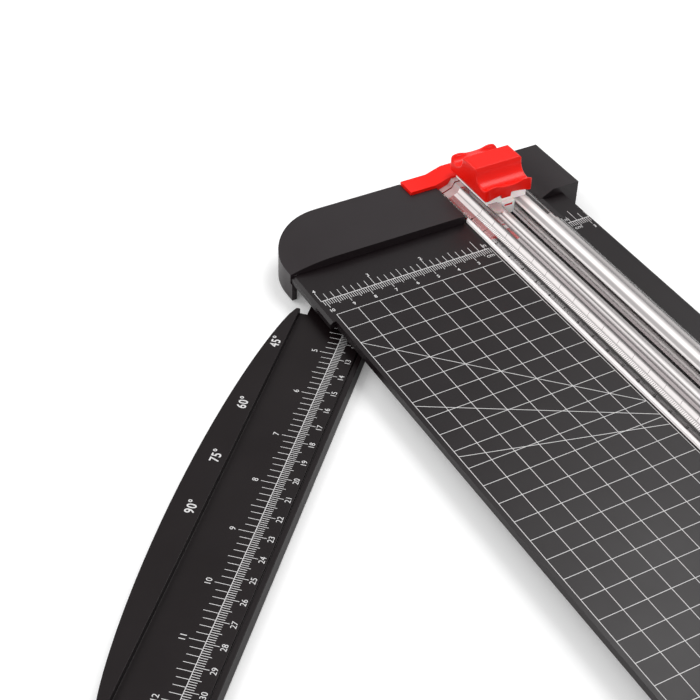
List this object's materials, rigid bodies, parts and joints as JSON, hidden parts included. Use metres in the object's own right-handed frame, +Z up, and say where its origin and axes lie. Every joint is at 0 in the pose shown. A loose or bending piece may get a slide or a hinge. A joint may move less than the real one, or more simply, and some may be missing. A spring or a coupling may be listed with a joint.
{
  "type": "sliding paper trimmer",
  "caption": "Sliding paper trimmer: ruled black deck between end caps, clear hinged rail with a sprung red blade carriage, and a fold-out ruler arm with angle marks.",
  "frame": {"origin": "on the table under the cut line, half way along the cutting length, at the foot's underside there", "axes": "+X across the deck to the right, +Y along the cut line to the head cap, +Z up"},
  "size_m": [0.303, 0.3824, 0.0337],
  "materials": {
    "deck_plastic": "satin black moulded plastic",
    "cap_plastic": "fine matt dark grey moulded plastic",
    "strip_plastic": "matt black strip",
    "clear_plastic": "polished clear plastic",
    "milky_plastic": "translucent white plastic",
    "red_plastic": "satin red plastic",
    "steel": "zinc plated steel",
    "rubber": "matt black rubber",
    "washer_plastic": "natural nylon"
  },
  "bodies": {
    "base": {"deck": "deck_plastic", "cutting_strip": "strip_plastic", "head_cap": "cap_plastic", "foot_cap": "cap_plastic", "head_cap_screws": "steel", "foot_cap_screws": "steel", "rubber_feet": "rubber", "hinge_pin": "steel", "pivot_screw": "steel", "friction_washer": "washer_plastic"},
    "rail": {"rail_left": "clear_plastic", "rail_right": "clear_plastic", "lift_end": "red_plastic", "hinge_block": "cap_plastic", "lift_end_screws": "steel", "hinge_block_screws": "steel"},
    "carriage": {"slider": "milky_plastic", "cut_mark": "red_plastic", "press_springs": "steel"},
    "press": {"press_cap": "red_plastic", "blade_holder": "red_plastic", "holder_screws": "steel", "blade": "steel", "blade_pin": "steel"},
    "arm": {"ruler_arm": "deck_plastic"}
  },
  "joints": [
    {"name": "rail_lift", "type": "hinge", "parent": "base", "child": "rail", "pos_m": [0, -0.178, 0.0148], "axis": [1, 0, 0], "range_deg": [0, 35]},
    {"name": "carriage_slide", "type": "slide", "parent": "rail", "child": "carriage", "axis": [0, -1, 0], "range_m": [0, 0.31]},
    {"name": "blade_press", "type": "slide", "parent": "carriage", "child": "press", "axis": [0, 0, -1], "range_m": [0, 0.0022], "stiffness_N_per_m": 400, "springref_m": -0.003, "deforming": ["press_springs"]},
    {"name": "arm_swing", "type": "hinge", "parent": "base", "child": "arm", "pos_m": [-0.09, 0.1456, 0], "axis": [0, 0, 1], "range_deg": [-45.75, 44.25]}
  ]
}
